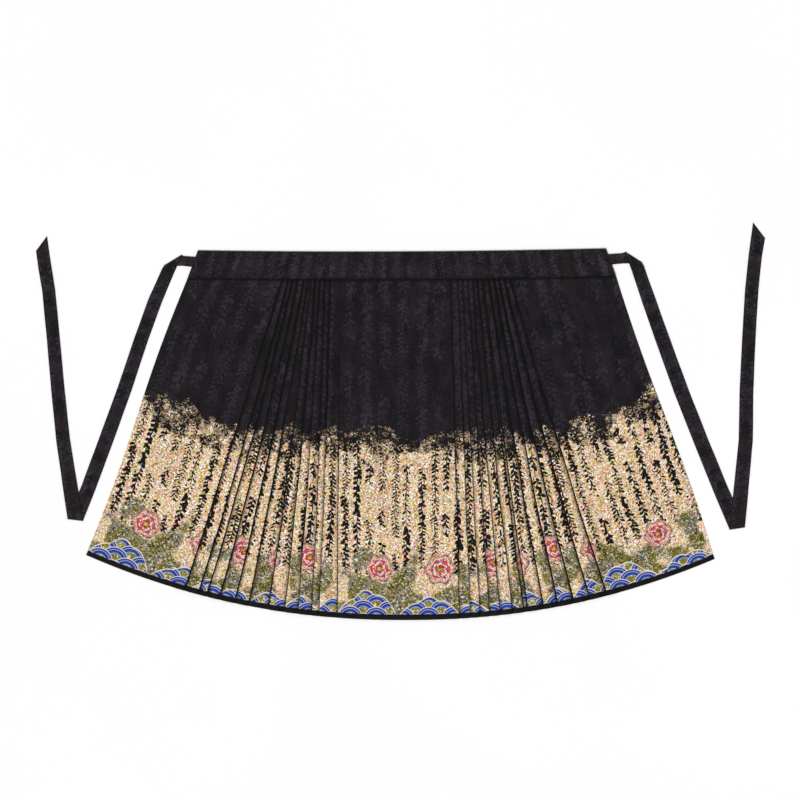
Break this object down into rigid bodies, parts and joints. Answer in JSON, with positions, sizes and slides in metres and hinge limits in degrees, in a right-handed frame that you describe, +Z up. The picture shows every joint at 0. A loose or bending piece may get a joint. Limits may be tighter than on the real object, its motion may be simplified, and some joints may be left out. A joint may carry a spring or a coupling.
{
  "type": "horse-face skirt",
  "caption": "Long wrap skirt laid flat and open: flat side and centre panels with knife pleats between them, on a waistband with long folded ties.",
  "frame": {"origin": "centre of the footprint of the laid-out skirt, ties included, on the surface it lies on", "axes": "+X along the waistband to the right of the face of the skirt, +Y from the hem towards the waistband, +Z up out of the cloth"},
  "size_m": [1.9684, 1.0732, 0.0064],
  "materials": {
    "brocade": "woven brocade, black at the waist and gold towards the hem, with a slight metallic sheen",
    "band_cloth": "black damask with a faint tone-on-tone pattern",
    "binding": "black satin edging, slightly smoother than the cloth"
  },
  "bodies": {
    "root": {"panel_left": "brocade", "pleats_left": "brocade", "panel_centre_under": "brocade", "panel_centre": "brocade", "pleats_right": "brocade", "panel_right": "brocade", "binding_left": "binding", "binding_right": "binding", "waistband": "band_cloth", "tie_left_root": "band_cloth", "tie_left_drop": "band_cloth", "tie_left_end": "band_cloth", "tie_right_root": "band_cloth", "tie_right_drop": "band_cloth", "tie_right_end": "band_cloth"}
  },
  "joints": []
}
